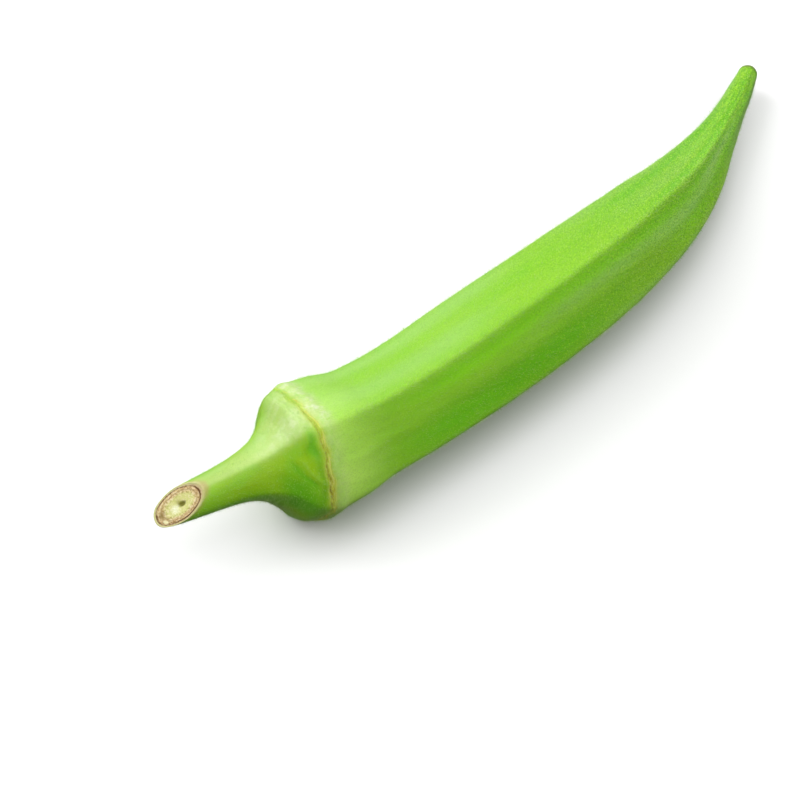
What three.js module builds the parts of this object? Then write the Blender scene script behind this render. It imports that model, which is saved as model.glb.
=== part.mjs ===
// An okra pod as picked, lying on a surface: one grown piece, from the cut of its stalk to its blunt tip.
// Millimetres, +Z up. The stalk is at -X, the tip at +X, and the underside lies on z = 0.
import * as THREE from 'three';

// Length and lie of the middle line, which runs from inside the stalk's end to the tip.
const podLength = 138;
// Stations are [place along it, value]; headings are in degrees from +X.
const headings = [[0, -24.5], [17, -19], [34, -10], [68, -3.4], [102, 10.2], [124, 16], [138, 20.5]];
const middleHeights = [
  [0, 9.05], [8, 9.3], [14, 9], [18.5, 8.9], [23, 8.7], [50, 8.25], [66, 8.05], [84, 7.05], [102, 5.1],
  [138, 3.2],
];
const restFlatDepth = 0.5; // how far the underside is pressed flat where it meets the surface

// How far the ridges reach from the middle line: stalk, cone, shoulder, waist, belly, taper.
const reaches = [
  [0, 2.3], [7, 2.95], [11, 4.15], [13.5, 6.2], [15.5, 8.8], [18.5, 9.4], [22, 9.1], [27, 8.2],
  [34, 8.15], [50, 8.5], [66, 8.3], [84, 7.35], [102, 5.35], [116, 3.25], [127, 2.1], [135.7, 1.6],
];

// The five-sided section: 0 is round, 1 is the full pentagon.
const sides = 5;
const angularities = [
  [0, 0.05], [10, 0.3], [16, 0.45], [26, 0.5], [40, 0.85], [110, 0.92], [129, 0.5], [138, 0.2],
];
const cornerSharpness = 20;
const ridgeTurn = 62.5; // degrees up from the -Y side to the first ridge, half way along
const ridgeTwist = 10; // degrees that the ridges turn from the cut to the tip

// Fine relief along the pod.
const ribHeight = 0.1;
const ribHalfWidth = 0.5;
const seamHeight = 0.14; // the soft line down the middle of each face
const seamHalfWidth = 1.1;

// The scar of the fallen flower: a sunken line round the pod with a swollen rim behind it.
const scarPlace = 16.75;
const scarLean = 0.65;
const scarLeanTurn = 130;
const shoulderLean = 0.35; // how far the shoulder leans the same way
const grooveDepth = 0.22;
const grooveHalfWidth = 0.35;
const rimHeight = 0.28;
const rimHalfWidth = 0.9;
const rimBehindScar = 1.2;
const dimpleDepth = 0.45;
const dimpleHalfLength = 1.2;
const dimpleAheadOfScar = 2;

// The slanting cut: its outward normal, and the rings of rind, groove and pith seen in it.
const cutTurn = -179; // degrees round from +X
const cutRise = 48; // degrees up from level
const cutAhead = 0.6; // how far the cut lies before the middle line's start
const cutReach = 9; // how far along the stalk the slant dies out
const stalkFluteHeight = 0.06;
const pithHoleOffset = [0.35, 0.5];
const cutRings = [
  { part: 0.93, depth: 0 },
  { part: 0.87, depth: 0.14 },
  { part: 0.8, depth: 0.03 },
  { part: 0.5, depth: 0.08 },
  { part: 0.27, depth: 0.04 },
  { part: 0.2, depth: 0.3 },
  { part: 0.12, depth: 0.7 },
];

// Where the surface is divided: [up to, step] along the pod, and angles from each ridge.
const rowSteps = [
  [9, 1], [14, 0.72], [15.6, 0.4], [19, 0.34], [23, 0.8], [40, 2.1], [122, 3.4], [135.7, 1.7],
];
const tipRows = 5;
const columnAngles = [0, 2.6, 6.5, 13, 23, 36, 49, 59, 65.5, 69.4];

const radians = THREE.MathUtils.degToRad;
const bell = (distance, halfWidth) => Math.exp(-((distance / halfWidth) ** 2));

// A smooth rise through [place, value] stations that never swings past them.
function smoothThrough(stations) {
  const spans = stations.slice(1).map(([place], k) => place - stations[k][0]);
  const rises = stations.slice(1).map(([, value], k) => (value - stations[k][1]) / spans[k]);
  const slopes = stations.map((station, k) => {
    if (k === 0 || k === stations.length - 1) return rises[Math.min(k, rises.length - 1)];
    if (rises[k - 1] * rises[k] <= 0) return 0;
    const before = 2 * spans[k] + spans[k - 1];
    const after = spans[k] + 2 * spans[k - 1];
    return (before + after) / (before / rises[k - 1] + after / rises[k]);
  });
  return (place) => {
    let k = 0;
    while (k < spans.length - 1 && place > stations[k + 1][0]) k += 1;
    const t = THREE.MathUtils.clamp((place - stations[k][0]) / spans[k], 0, 1);
    const start = stations[k][1] * (1 + 2 * t) * (1 - t) ** 2 + spans[k] * slopes[k] * t * (1 - t) ** 2;
    const end = stations[k + 1][1] * t * t * (3 - 2 * t) + spans[k] * slopes[k + 1] * t * t * (t - 1);
    return start + end;
  };
}

const headingAt = smoothThrough(headings);
const heightAt = smoothThrough(middleHeights);
const reachAt = smoothThrough(reaches);
const angularityAt = smoothThrough(angularities);
const lastReach = reaches[reaches.length - 1][0];

// The middle line in small steps, and the directions along it, out to the -Y side and up.
const walkStep = 0.25;
const walk = [new THREE.Vector3(0, 0, heightAt(0))];
for (let place = walkStep; place <= podLength; place += walkStep) {
  const heading = radians(headingAt(place - walkStep / 2));
  const last = walk[walk.length - 1];
  walk.push(new THREE.Vector3(
    last.x + Math.cos(heading) * walkStep,
    last.y + Math.sin(heading) * walkStep,
    heightAt(place),
  ));
}

function frameAt(place) {
  const step = Math.min(Math.floor(place / walkStep), walk.length - 2);
  const middle = walk[step].clone().lerp(walk[step + 1], place / walkStep - step);
  const slope = (heightAt(Math.min(place + 1, podLength)) - heightAt(Math.max(place - 1, 0))) / 2;
  const heading = radians(headingAt(place));
  const along = new THREE.Vector3(Math.cos(heading), Math.sin(heading), slope).normalize();
  const side = new THREE.Vector3(Math.sin(heading), -Math.cos(heading), 0);
  const up = side.clone().cross(along);
  return { middle, along, side, up };
}

const ridgeAngleAt = (place) => radians(ridgeTurn + ridgeTwist * (place / podLength - 0.5));

// Reach of a five-sided section with rounded corners, 1 at its corners; the angle is taken from a ridge.
function pentagonReach(angle) {
  let sum = 0;
  for (let k = 0; k < sides; k += 1) {
    const facing = Math.cos(angle - radians(((k + 0.5) * 360) / sides));
    sum += Math.max(facing, 0) ** cornerSharpness;
  }
  const corner = 2 * Math.cos(Math.PI / sides) ** cornerSharpness;
  return (corner / sum) ** (1 / cornerSharpness);
}

// Rib on each ridge and soft seam between two ridges, fading out on the stalk and at the very tip.
function ribRelief(place, angle, reach) {
  const fifth = (2 * Math.PI) / sides;
  const fromRidge = (angle - fifth * Math.round(angle / fifth)) * reach;
  const fromSeam = Math.abs(fromRidge) - (fifth / 2) * reach;
  const rib = ribHeight * bell(fromRidge, ribHalfWidth);
  const nearEnds = 0.45 + 0.55 * Math.max(bell(place - 22, 8), THREE.MathUtils.smoothstep(place, 80, 110));
  const seam = seamHeight * nearEnds * bell(fromSeam, seamHalfWidth);
  const behindScar = THREE.MathUtils.smoothstep(place, 17, 24);
  const beforeTip = 1 - THREE.MathUtils.smoothstep(place, 128, lastReach);
  return (rib + seam) * behindScar * beforeTip;
}

// The scar line, its swollen rim, and the dimples in the cone just ahead of it.
function scarRelief(place, angle, turn) {
  const behind = place - scarPlace - scarLean * Math.cos(turn - radians(scarLeanTurn));
  const groove = -grooveDepth * bell(behind, grooveHalfWidth);
  const rim = rimHeight * bell(behind - rimBehindScar, rimHalfWidth);
  const between = (1 - Math.cos(2 * sides * angle)) / 2;
  const dimples = -dimpleDepth * between * bell(behind + dimpleAheadOfScar, dimpleHalfLength);
  return groove + rim + dimples;
}

// Shallow flutes down the stalk, gone at the cut and on the cone.
function stalkFlutes(place, angle) {
  const onStalk = THREE.MathUtils.smoothstep(place, 0, 4) * (1 - THREE.MathUtils.smoothstep(place, 8, 13));
  return stalkFluteHeight * Math.cos(sides * angle) * onStalk;
}

const cutNormal = new THREE.Vector3().setFromSphericalCoords(1, radians(90 - cutRise), radians(cutTurn + 90));
cutNormal.set(cutNormal.x, -cutNormal.z, cutNormal.y); // three.js's sphere is +Y up

// A point of the skin: the angle is taken from the first ridge, and slides with the slant near the cut.
function skinPoint(place, angle) {
  const { middle, along, side, up } = frameAt(place);
  const turn = angle + ridgeAngleAt(place);
  const tip = THREE.MathUtils.clamp((place - lastReach) / (podLength - lastReach), 0, 1);
  const rises = THREE.MathUtils.smoothstep(place, 11.5, 15);
  const falls = THREE.MathUtils.smoothstep(place, 20, 27);
  const lean = shoulderLean * rises * (1 - falls) * Math.cos(turn - radians(scarLeanTurn));
  const reach = reachAt(Math.min(place - lean, lastReach));
  const shaped = reach * (1 + angularityAt(place) * (pentagonReach(angle) - 1));
  const relief = ribRelief(place, angle, reach) + scarRelief(place, angle, turn) + stalkFlutes(place, angle);
  const out = side.multiplyScalar(Math.cos(turn)).addScaledVector(up, Math.sin(turn));
  const distance = (shaped + relief) * Math.sqrt(1 - tip * tip);
  const slant = (-distance * out.dot(cutNormal)) / along.dot(cutNormal) - cutAhead;
  const slide = slant * (1 - THREE.MathUtils.smoothstep(place, 0, cutReach));
  return middle.addScaledVector(out, distance).addScaledVector(along, slide);
}

// A ring of the cut face: part 1 is its edge, 0 the middle of the pith hole.
function cutPoint(ring, angle) {
  const { middle, side, up } = frameAt(0);
  const [toSide, toUp] = pithHoleOffset;
  const hole = middle.addScaledVector(side, toSide).addScaledVector(up, toUp);
  const edge = skinPoint(0, angle);
  const offPlane = hole.clone().sub(edge).dot(cutNormal);
  hole.addScaledVector(cutNormal, -offPlane);
  return hole.lerp(edge, ring.part).addScaledVector(cutNormal, -ring.depth);
}

function rowPlaces() {
  const places = [0];
  let from = 0;
  for (const [to, step] of rowSteps) {
    const count = Math.round((to - from) / step);
    for (let k = 1; k <= count; k += 1) places.push(from + ((to - from) * k) / count);
    from = to;
  }
  for (let k = 1; k < tipRows; k += 1) {
    places.push(from + (podLength - from) * Math.sin((k / tipRows) * (Math.PI / 2)));
  }
  return places;
}

// Rows of points from the pith hole over the cut's edge and along the skin to the tip, closed at both ends.
function podGeometry() {
  const angles = [];
  for (let k = 0; k < sides; k += 1) {
    for (const angle of columnAngles) angles.push(radians((k * 360) / sides + angle));
  }
  const cutRows = cutRings.slice().reverse().map((ring) => angles.map((angle) => cutPoint(ring, angle)));
  const skinRows = rowPlaces().map((place) => angles.map((angle) => skinPoint(place, angle)));
  const rows = [...cutRows, ...skinRows];
  const first = cutPoint({ part: 0, depth: cutRings[cutRings.length - 1].depth }, 0);
  const last = frameAt(podLength).middle;
  const points = [first, ...rows.flat(), last];
  const faces = [];
  const across = angles.length;
  const at = (row, column) => 1 + row * across + (column % across);
  for (let column = 0; column < across; column += 1) {
    faces.push(0, at(0, column), at(0, column + 1));
    faces.push(points.length - 1, at(rows.length - 1, column + 1), at(rows.length - 1, column));
    for (let row = 0; row < rows.length - 1; row += 1) {
      faces.push(at(row, column), at(row + 1, column), at(row + 1, column + 1));
      faces.push(at(row, column), at(row + 1, column + 1), at(row, column + 1));
    }
  }
  const geometry = new THREE.BufferGeometry().setFromPoints(points);
  geometry.setIndex(faces);
  return geometry;
}

// Sets the pod down: its lowest places become small flats on z = 0, and its box is centred on the origin.
function laidDown(geometry) {
  geometry.computeBoundingBox();
  geometry.translate(0, 0, -geometry.boundingBox.min.z - restFlatDepth);
  const position = geometry.getAttribute('position');
  for (let k = 0; k < position.count; k += 1) position.setZ(k, Math.max(position.getZ(k), 0));
  geometry.computeBoundingBox();
  const centre = geometry.boundingBox.getCenter(new THREE.Vector3());
  geometry.translate(-centre.x, -centre.y, 0);
  geometry.computeVertexNormals();
  return geometry;
}

const skin = new THREE.MeshStandardMaterial({ color: 0x7fb63a, roughness: 0.55, metalness: 0 });
const pod = new THREE.Mesh(laidDown(podGeometry()), skin);
pod.name = 'okra_pod';

const group = new THREE.Group();
group.add(pod);

export default group;
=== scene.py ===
"""An okra pod, dressed: skin, cut stalk, ring scar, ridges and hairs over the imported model."""

import functools

import bpy
import numpy as np
from bpy.props import (
    FloatProperty,
    FloatVectorProperty,
    IntProperty,
    PointerProperty,
)
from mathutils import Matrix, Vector


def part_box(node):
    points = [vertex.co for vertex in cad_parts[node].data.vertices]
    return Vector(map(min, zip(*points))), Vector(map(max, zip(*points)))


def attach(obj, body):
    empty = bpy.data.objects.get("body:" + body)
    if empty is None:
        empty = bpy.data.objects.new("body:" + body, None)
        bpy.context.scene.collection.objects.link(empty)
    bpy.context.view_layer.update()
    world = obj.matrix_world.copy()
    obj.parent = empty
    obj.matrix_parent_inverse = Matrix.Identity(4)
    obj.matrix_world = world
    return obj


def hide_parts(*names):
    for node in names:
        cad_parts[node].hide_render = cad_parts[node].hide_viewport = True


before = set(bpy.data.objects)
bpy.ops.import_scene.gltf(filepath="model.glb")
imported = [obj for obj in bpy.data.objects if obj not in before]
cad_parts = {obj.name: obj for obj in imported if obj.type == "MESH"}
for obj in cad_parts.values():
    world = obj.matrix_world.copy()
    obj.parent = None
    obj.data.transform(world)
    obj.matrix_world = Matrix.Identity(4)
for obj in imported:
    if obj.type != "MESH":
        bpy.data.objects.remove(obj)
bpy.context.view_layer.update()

bl_info = {
    "name": "Okra Pod",
    "version": (1, 0, 0),
    "blender": (4, 5, 0),
    "location": "3D View > Sidebar > Okra Pod",
    "description": "Dresses an okra pod: skin, cut stalk, ring scar and hairs",
    "category": "Mesh",
}

MM = 0.001
NODE = "okra_pod"
BODY = "root"

# ---- The pod's form, in millimetres ----
# Stations are (place along the middle line, value), from the middle of the cut to the tip.
POD_LENGTH = 138.0
TIP_START = 135.7
HEADINGS = ((0, -24.5), (17, -19), (34, -10), (68, -3.4), (102, 10.2), (124, 16), (138, 20.5))
MIDDLE_HEIGHTS = (
    (0, 9.05), (8, 9.3), (14, 9.0), (18.5, 8.9), (23, 8.7), (50, 8.25), (66, 8.05), (84, 7.05),
    (102, 5.1), (138, 3.2),
)
REACHES = (
    (0, 2.3), (7, 2.95), (11, 4.15), (13.5, 6.2), (15.5, 8.8), (18.5, 9.4), (22, 9.1), (27, 8.2),
    (34, 8.15), (50, 8.5), (66, 8.3), (84, 7.35), (102, 5.35), (116, 3.25), (127, 2.1), (135.7, 1.6),
)
ANGULARITIES = (
    (0, 0.05), (7, 0.22), (11, 0.48), (14, 0.48), (17, 0.50), (20, 0.64), (26, 0.78), (40, 0.85),
    (106, 0.90), (119, 0.52), (129, 0.18), (138, 0.05),
)
SIDES = 5
FIFTH = 2 * np.pi / SIDES
CORNER_SHARPNESS = 20
# Degrees: how far up from the -Y side the first ridge lies, and how far it turns along the pod.
FIRST_RIDGE = 62.5
POD_TWIST = 10
REST_FLAT_DEPTH = 0.5
SCAR_PLACE = 16.65
SCAR_LEAN = 0.45
SCAR_LEAN_TURN = np.radians(130)
SHOULDER_LEAN = 0.35
CONE_TWIST = np.radians(7)
CUT_TURN = np.radians(-179)
CUT_RISE = np.radians(48)
CUT_AHEAD = 0.6
CUT_REACH = 9.0
PITH_HOLE_OFFSET = (0.13, -0.06)
RIB_HALF_WIDTH = 0.5
SEAM_HALF_WIDTH = 1.1
GROOVE_HALF_WIDTH = 0.19
BACK_LIP = 0.07
FRONT_LIP = 0.03
RIM_BEHIND = 1.25
RIM_HALF_WIDTH = 0.85
FLUTE_HEIGHT = 0.02
FINE_WAVE_HEIGHT = 0.012

# Hollows and folds, nearly all in the cone: (degrees from the first ridge, behind the scar, height,
# half width in degrees, half length).
SKIN_FORMS = (
    (-8, -1.15, -0.10, 12, 0.45), (-74, -2.5, -0.30, 27, 1.5), (-42, -3.8, -0.14, 22, 1.6),
    (24, -3.2, 0.08, 16, 1.6), (128, -1.4, -0.20, 20, 0.7), (172, -2.4, 0.10, 14, 1.2),
    (-140, -1.5, -0.20, 20, 0.8), (-108, -3.0, 0.10, 14, 1.2), (-72, 106, -0.26, 34, 11),
)
# A fold that runs aslant into the scar: (degrees, behind the scar) at its two ends, its height and
# half width, and the furrow on its stalk side. Then the depth of the fold ahead of the scar, which
# the skin's colour fills with painted shade.
FOLD_ENDS = ((-18, -2.7), (-48, -0.9))
FOLD_HEIGHT = 0.15
FOLD_HALF_WIDTH = 0.32
FURROW_DEPTH = 0.10
FURROW_AHEAD = 0.7
FURROW_HALF_WIDTH = 0.4
DARK_FOLD_DEPTH = 0.12

# Streaks in the skin: (degrees from the first ridge, from and to along the pod, strength, half
# width in degrees). Pale streaks, which are painted sheen down the faces, a painted highlight on the
# cone's top and painted light on the shaded lower face near the tip; a fuller green, which under the
# cone and just below the first ridge is painted shade; and a brighter green, which on the lower face
# near the tip is painted light.
PALE_STREAKS = (
    (16, -10, 22, 0.50, 13), (44, -10, 22, 0.50, 22), (22, 13, 50, 0.60, 14),
    (62, 13, 60, 0.60, 12), (108, 24, 70, 0.40, 12), (176, 26, 90, 0.40, 12),
    (-110, 30, 96, 0.40, 12), (-23, 55, 92, 0.45, 8), (140, 60, 120, 0.45, 14),
    (-68, 62, 120, 0.35, 4), (66, 70, 104, 0.45, 9), (28, 80, 124, 0.40, 10),
    (-92, 84, 124, 0.35, 10), (-32, 84, 104, 0.65, 9), (-20, 98, 120, 1.00, 8),
    (70, 100, 138, 0.70, 18), (-60, 114, 138, 1.30, 23),
)
FULL_STREAKS = (
    (-84, 2, 14, 1.00, 26), (-56, 28, 66, 0.80, 16), (-52, 30, 78, 0.35, 22),
    (-9, 30, 116, 0.45, 5.5), (-160, 34, 80, 0.40, 12), (38, 50, 76, 0.30, 12),
    (96, 50, 110, 0.45, 12), (-130, 60, 122, 0.45, 13), (36, 74, 134, 0.30, 42),
    (52, 80, 120, 0.80, 10), (9, 84, 122, 0.85, 6), (-44, 92, 118, 0.20, 12),
    (14, 112, 138, 0.80, 7), (57, 100, 126, 0.50, 12),
)
FRESH_AND_LIT_STREAKS = (
    (-13, 32, 118, 0.60, 9), (-43, 86, 134, 0.75, 21), (3, 100, 138, 0.60, 4),
    (30, 100, 130, 0.50, 8), (-38, 114, 138, 0.60, 26),
)

# Where the skin's grid is divided: (up to, step) along the pod.
ROW_STEPS = ((9, 0.36), (14, 0.3), (20, 0.13), (26, 0.36), (122, 0.74), (135.7, 0.52))
TIP_ROWS = 12
COLUMNS = 330
# What the rolled-out map takes up of its square, and the margin beside it.
MAP_WIDTH = 0.96
MAP_HEIGHT = 0.98
MAP_MARGIN = 0.01

# Hairs: the longest, how far they lean at random, how deep they root, and how far they stay clear
# of the floor.
LONGEST_HAIR = 0.55
HAIR_DRIFT = 0.35
ROOT_DEPTH = 0.015
HAIR_CLEARANCE = 0.02

# Where the camera stands: along the line of sight from the point it looks at, in metres, and its
# lens in millimetres.
VIEW_AIM = (-0.03247, 0.00004, 0.0085)
VIEW_AZIMUTH = np.radians(-54)
VIEW_ELEVATION = np.radians(40)
VIEW_DISTANCE = 0.396
VIEW_LENS = 135.0


# ---- Settings ----
def length_setting(name, description, millimetres):
    """A length that is given in millimetres and kept in metres."""
    return FloatProperty(
        name=name, description=description, default=millimetres * MM, unit="LENGTH", precision=6)


def power_setting(name, description, watts):
    return FloatProperty(name=name, description=description, default=watts, unit="POWER")


def colour_setting(name, description, *default):
    """A colour: linear red, green and blue."""
    return FloatVectorProperty(
        name=name, description=description, default=default, subtype="COLOR", size=3, min=0, max=1)


class PodRelief(bpy.types.PropertyGroup):
    """Heights of the fine relief on the skin."""

    rib_height: length_setting("Rib height", "How far the rib on each ridge stands out", 0.075)
    seam_height: length_setting("Seam height", "How far the soft line down each face stands out", 0.14)
    groove_depth: length_setting("Scar groove", "Depth of the line left by the flower", 0.22)
    rim_height: length_setting("Scar rim", "Height of the swelling behind the scar", 0.28)
    form_scale: length_setting("Cone forms", "Height scale of the hollows and folds in the cone", 1.0)
    unevenness: length_setting("Unevenness", "Height of the slow waves over each face", 0.05)


class PodColours(bpy.types.PropertyGroup):
    """Colours of the skin, the scar, the cut and the hairs."""

    leaf: colour_setting("Face green", "Skin in the middle of the pod", 0.254, 0.592, 0.020)
    bright: colour_setting(
        "Bright green", "Young, yellower skin along the ridges and the tip", 0.314, 0.622, 0.025)
    # Used for random mottle and the tip's strands, and as painted shade in the cone's hollows.
    deep: colour_setting("Deep green", "Skin in the channels beside the ridges", 0.120, 0.465, 0.004)
    # Fuller green; under the cone and just below the first ridge it is painted shade.
    vivid: colour_setting("Vivid green", "Fuller streaks down the faces", 0.155, 0.550, 0.002)
    # Also used in the tip's strands; in the streaks on the lower face near the tip it is painted light.
    fresh: colour_setting("Fresh green", "Brighter streaks beside the first ridge", 0.300, 0.860, 0.002)
    # Painted sheen on the faces; also the whiter tint of some hairs.
    bloom_and_sheen: colour_setting("Bloom", "Greyish bloom down the middle of each face", 0.375, 0.650, 0.195)
    # Partly the shoulder's own paler skin and partly a painted highlight, on the swelling and on the
    # cone's top.
    pale: colour_setting(
        "Pale shoulder", "Whitish skin on the swelling behind the scar", 0.625, 0.735, 0.320)
    # Partly painted light: brighter than the skin itself, to light the shaded lower shoulder.
    young_and_lit: colour_setting("Young green", "Yellower skin towards the scar", 0.590, 0.960, 0.150)
    olive: colour_setting("Olive", "Skin of the cone and the stalk", 0.300, 0.550, 0.003)
    tan: colour_setting("Tan", "Corky skin beside the scar and round the cut", 0.610, 0.655, 0.085)
    rust: colour_setting(
        "Rust", "Dried tissue in the scar and in the rings of the cut", 0.230, 0.165, 0.004)
    flesh: colour_setting("Cut flesh", "Wood of the cut stalk", 0.580, 0.430, 0.190)
    pith: colour_setting("Pith", "Soft middle of the cut stalk", 0.580, 0.590, 0.190)
    hair: colour_setting("Hair", "Hairs all over the pod", 0.560, 0.760, 0.260)


class PodHairs(bpy.types.PropertyGroup):
    """How many hairs there are and how long they are."""

    down_count: IntProperty(
        name="Down", description="Short hairs over the faces", default=46000, min=0)
    ridge_count: IntProperty(
        name="Ridge hairs", description="Stiffer hairs along the ridges", default=12000, min=0)
    stalk_count: IntProperty(
        name="Stalk hairs", description="Hairs on the stalk, the cone and the scar",
        default=14000, min=0)
    length: length_setting("Hair length", "Length of an average hair", 0.34)
    width: length_setting("Hair width", "Width of a hair at its root", 0.022)


class StageSettings(bpy.types.PropertyGroup):
    """Floor, light and camera."""

    floor_size: length_setting("Floor size", "Side of the floor", 8000)
    soft_lamp_power: power_setting("Soft lamp", "Power of the large soft lamp overhead", 14.1)
    soft_lamp_size: length_setting("Soft lamp size", "Width of the soft lamp", 2400)
    window_power: power_setting("Window", "Power of the smaller lamp behind and to the left", 4.2)
    window_size: length_setting("Window size", "Width of the smaller lamp", 800)
    side_lamp_power: power_setting("Side lamp", "Power of the low lamp at the stalk's side", 2.9)
    side_lamp_size: length_setting("Side lamp size", "Width of the low lamp", 700)
    sky: FloatProperty(
        name="Sky", description="Strength of the white room above the floor", default=0.50)
    below: FloatProperty(
        name="Below", description="Strength of the light that comes back up from below", default=0.10)


# ---- Curves and waves ----
def bell(distance, half_width):
    """A smooth bump, 1 at no distance: e to the power of minus (distance / half_width) squared."""
    return np.exp(-((distance / half_width) ** 2))


def rise(value, low, high):
    """A smooth step from 0 at low to 1 at high: 3 t squared minus 2 t cubed."""
    t = np.clip((value - low) / (high - low), 0, 1)
    return t * t * (3 - 2 * t)


def plateau(value, low, full, fading, gone):
    """A smooth step up from low to full and down again from fading to gone."""
    return rise(value, low, full) * (1 - rise(value, fading, gone))


def unit(vectors):
    return vectors / np.linalg.norm(vectors, axis=-1, keepdims=True)


def smooth_through(stations, place):
    """A cubic between each two stations, its slope there the weighted harmonic mean of the slopes
    on both sides, or level where they turn, so that it never swings past a station."""
    places, values = np.array(stations, float).T
    spans = np.diff(places)
    slopes = np.diff(values) / spans
    before = 2 * spans[1:] + spans[:-1]
    after = spans[1:] + 2 * spans[:-1]
    with np.errstate(divide="ignore", invalid="ignore"):
        mean = (before + after) / (before / slopes[:-1] + after / slopes[1:])
    level = slopes[:-1] * slopes[1:] <= 0
    at = np.concatenate(([slopes[0]], np.where(level, 0, mean), [slopes[-1]]))
    k = np.clip(np.searchsorted(places, place, side="right") - 1, 0, len(spans) - 1)
    t = np.clip((place - places[k]) / spans[k], 0, 1)
    start = values[k] * (1 + 2 * t) * (1 - t) ** 2 + spans[k] * at[k] * t * (1 - t) ** 2
    end = values[k + 1] * t * t * (3 - 2 * t) + spans[k] * at[k + 1] * t * t * (t - 1)
    return start + end


def waves(place, angle, seed, count, turns, longest, shortest):
    """Slow waves that close round the pod: the sum of count cosines over the root of their count,
    each of a whole number of turns round it, a wavelength along it between the two given and a
    random start."""
    rng = np.random.default_rng(seed)
    total = 0.0
    for _ in range(count):
        round_it = rng.integers(0, turns + 1)
        along = 2 * np.pi / rng.uniform(shortest, longest)
        total = total + np.cos(round_it * angle + along * place + rng.uniform(0, 2 * np.pi))
    return total / np.sqrt(count)


# ---- The pod's surface ----
WALK_STEP = 0.25


@functools.lru_cache(maxsize=1)
def walked_line():
    """The middle line seen from above: small steps, each in the heading half way along it."""
    places = np.arange(0, POD_LENGTH + WALK_STEP / 2, WALK_STEP)
    heading = np.radians(smooth_through(HEADINGS, places[1:] - WALK_STEP / 2))
    x = np.concatenate(([0], np.cumsum(np.cos(heading)) * WALK_STEP))
    y = np.concatenate(([0], np.cumsum(np.sin(heading)) * WALK_STEP))
    return places, x, y


def frame_at(place):
    """The middle line's point, and the directions along it, to its -Y side and up."""
    place = np.asarray(place, float)
    places, x, y = walked_line()
    height = smooth_through(MIDDLE_HEIGHTS, place)
    middle = np.stack([np.interp(place, places, x), np.interp(place, places, y), height], -1)
    ahead = smooth_through(MIDDLE_HEIGHTS, np.minimum(place + 1, POD_LENGTH))
    behind = smooth_through(MIDDLE_HEIGHTS, np.maximum(place - 1, 0))
    heading = np.radians(smooth_through(HEADINGS, place))
    along = np.stack([np.cos(heading), np.sin(heading), (ahead - behind) / 2], -1)
    along = unit(along)
    side = np.stack([np.sin(heading), -np.cos(heading), np.zeros_like(heading)], -1)
    return middle, along, side, np.cross(side, along)


def ridge_angle(place):
    """How far up from the -Y side the first ridge lies: it turns slowly along the pod."""
    return np.radians(FIRST_RIDGE + POD_TWIST * (place / POD_LENGTH - 0.5))


def pentagon_reach(angle):
    """Reach of five flat sides with rounded corners, 1 at the corners: the power mean of what
    each side allows."""
    total = 0.0
    for k in range(SIDES):
        total = total + np.maximum(np.cos(angle - (k + 0.5) * FIFTH), 0) ** CORNER_SHARPNESS
    corner = 2 * np.cos(np.pi / SIDES) ** CORNER_SHARPNESS
    return (corner / total) ** (1 / CORNER_SHARPNESS)


def from_ridge(place, angle):
    """Distance round the skin to the nearest ridge, and to the nearest seam between two ridges."""
    reach = smooth_through(REACHES, np.minimum(place, TIP_START))
    ridge = np.abs(angle - FIFTH * np.round(angle / FIFTH)) * reach
    return ridge, FIFTH / 2 * reach - ridge


def behind_scar(place, angle):
    """Distance along the skin from the scar line, which leans and wanders, towards the tip."""
    turn = angle + ridge_angle(place)
    wander = 0.09 * waves(0, turn, 11, 9, 14, 2, 1) + 0.05 * waves(0, turn, 12, 9, 40, 2, 1)
    return place - SCAR_PLACE - SCAR_LEAN * np.cos(turn - SCAR_LEAN_TURN) - wander


def turn_between(angle, other):
    """The shorter turn, in degrees, to an angle in radians from another in degrees."""
    return (np.degrees(angle) - other + 180) % 360 - 180


def patch(angle, degrees, half_width):
    """A bell round the pod, its middle so many degrees from the first ridge."""
    return bell(turn_between(angle, degrees), half_width)


def sum_of_forms(behind, angle):
    """Hollows and folds of the skin, each a bell across and along, and the slanting fold and its
    furrow, bells across the straight line between the fold's ends."""
    total = 0.0
    for degrees, at, height, half_width, half_length in SKIN_FORMS:
        across = patch(angle, degrees, half_width)
        total = total + height * across * bell(behind - at, half_length)
    (start, start_behind), (end, end_behind) = FOLD_ENDS
    share = np.clip(turn_between(angle, start) / (end - start), -0.3, 1.3)
    line = start_behind + (end_behind - start_behind) * share
    fold = plateau(share, -0.3, 0.2, 0.8, 1.3)
    total = total + FOLD_HEIGHT * fold * bell(behind - line, FOLD_HALF_WIDTH)
    return total - FURROW_DEPTH * fold * bell(behind - line + FURROW_AHEAD, FURROW_HALF_WIDTH)


def fold_ahead(behind, angle):
    """The soft fold just ahead of the scar: a bell along, nearest the scar where the slanting fold
    meets it, full on one side of the pod and faint on the other, with a deeper dip at one end."""
    side = turn_between(angle, -38)
    marked = 0.15 + 0.85 * plateau(side, -75, -45, 34, 52)
    line = -1.25 + 0.5 * patch(angle, -46, 20) + 0.25 * rise(side, -40, -10)
    dip = patch(angle, -12, 8.5) * bell(behind + 1.3, 0.65)
    return 0.45 * marked * bell(behind - line, 0.5) + 0.7 * dip


def streak_tone(streaks, place, angle):
    """How strong the streaks are: each a bell across, rising and fading along the pod, all swaying
    a little."""
    tone = 0.0
    sway = 2.5 * waves(place, 0 * angle, 18, 6, 0, 70, 22)
    for degrees, start, end, strength, half_width in streaks:
        across = bell(turn_between(angle, degrees) + sway, half_width)
        along = plateau(place, start - 7, start + 9, end - 9, end + 7)
        tone = tone + strength * across * along
    return tone


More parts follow.
